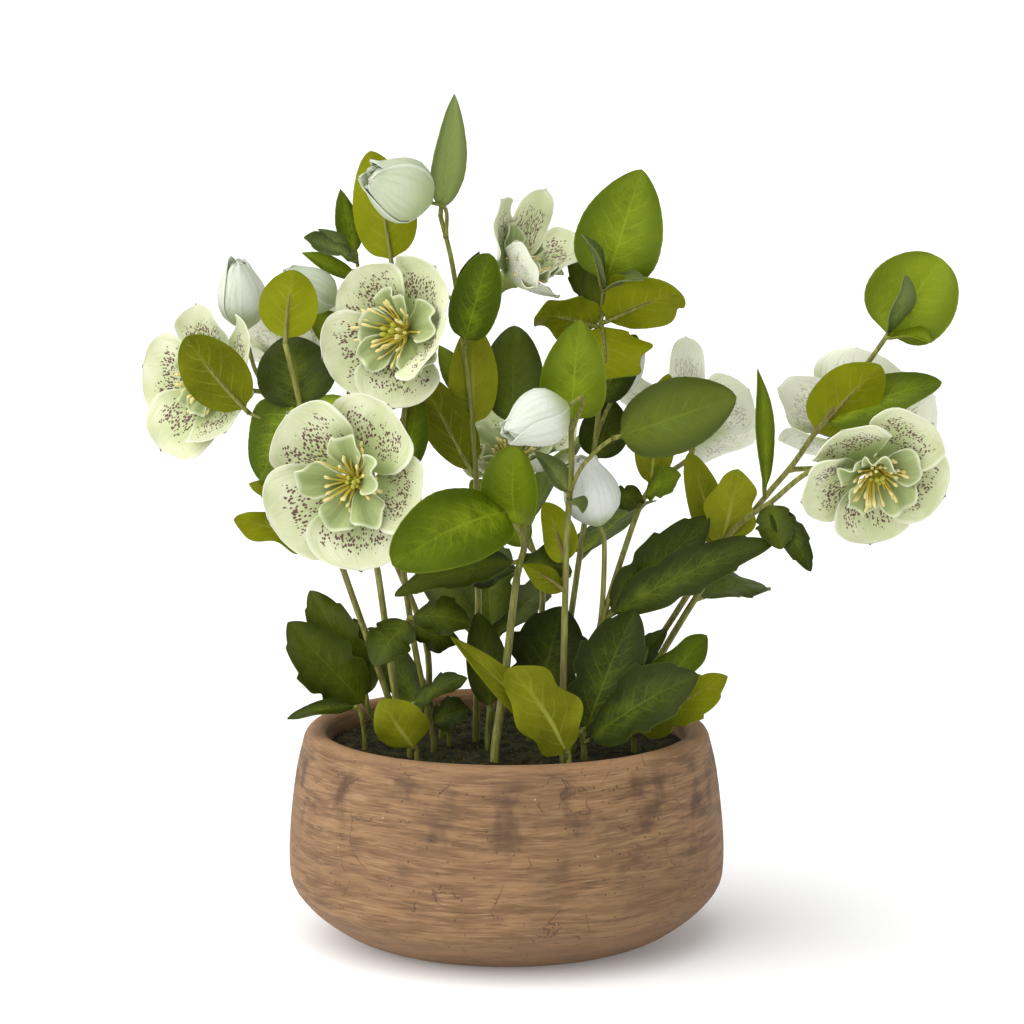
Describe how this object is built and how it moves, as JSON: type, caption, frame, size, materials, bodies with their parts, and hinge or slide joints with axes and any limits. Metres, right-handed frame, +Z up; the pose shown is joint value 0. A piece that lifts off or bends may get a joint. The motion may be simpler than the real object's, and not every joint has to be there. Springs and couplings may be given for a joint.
{
  "type": "potted hellebore plant",
  "caption": "Artificial hellebore with speckled open blooms, buds and lobed leaves on tall stems, planted in a low round pot with mossy soil.",
  "frame": {"origin": "middle of the pot's base, on the surface it stands on", "axes": "+Z up the plant, -Y towards the front that the picture shows, +X to the right in that view"},
  "size_m": [0.4222, 0.2343, 0.444],
  "materials": {
    "pot": "matt unglazed tan-brown earthenware, brushed in rows",
    "soil": "dark moss and fibre over a light filling",
    "leaf_green": "coated cloth leaves with a soft sheen, on wired stems",
    "leaf_dark": "coated cloth leaves with a soft sheen, blackish green",
    "tepal": "pale green-white cloth with maroon speckles",
    "stamen": "golden yellow threads",
    "bud": "white to pale grey-green cloth"
  },
  "bodies": {
    "root": {"pot": "pot", "soil": "soil", "stem_a": "leaf_green", "stem_b": "leaf_green", "stem_c": "leaf_green", "stem_d": "leaf_green", "stem_e": "leaf_green", "stem_f": "leaf_green", "stem_g": "leaf_green", "stem_h": "leaf_green", "stem_i": "leaf_green", "stem_j": "leaf_green", "stem_k": "leaf_green", "stem_l": "leaf_green", "basal_a": "leaf_dark", "basal_b": "leaf_dark", "basal_c": "leaf_dark", "basal_d": "leaf_dark", "basal_e": "leaf_dark", "basal_f": "leaf_green", "basal_g": "leaf_dark", "basal_h": "leaf_dark", "basal_i": "leaf_green", "basal_j": "leaf_dark", "basal_k": "leaf_dark", "bloom_1": "tepal", "bloom_2": "tepal", "bloom_3": "tepal", "bloom_4": "tepal", "bloom_5": "tepal", "bloom_6": "tepal", "bloom_7": "tepal", "bloom_8": "tepal", "bloom_9": "tepal", "stamens_1": "stamen", "stamens_2": "stamen", "stamens_3": "stamen", "stamens_4": "stamen", "stamens_5": "stamen", "stamens_6": "stamen", "stamens_7": "stamen", "stamens_8": "stamen", "stamens_9": "stamen", "bud_1": "bud", "bud_2": "bud", "bud_3": "bud", "bud_4": "bud", "bud_5": "bud", "bud_6": "bud"}
  },
  "joints": []
}
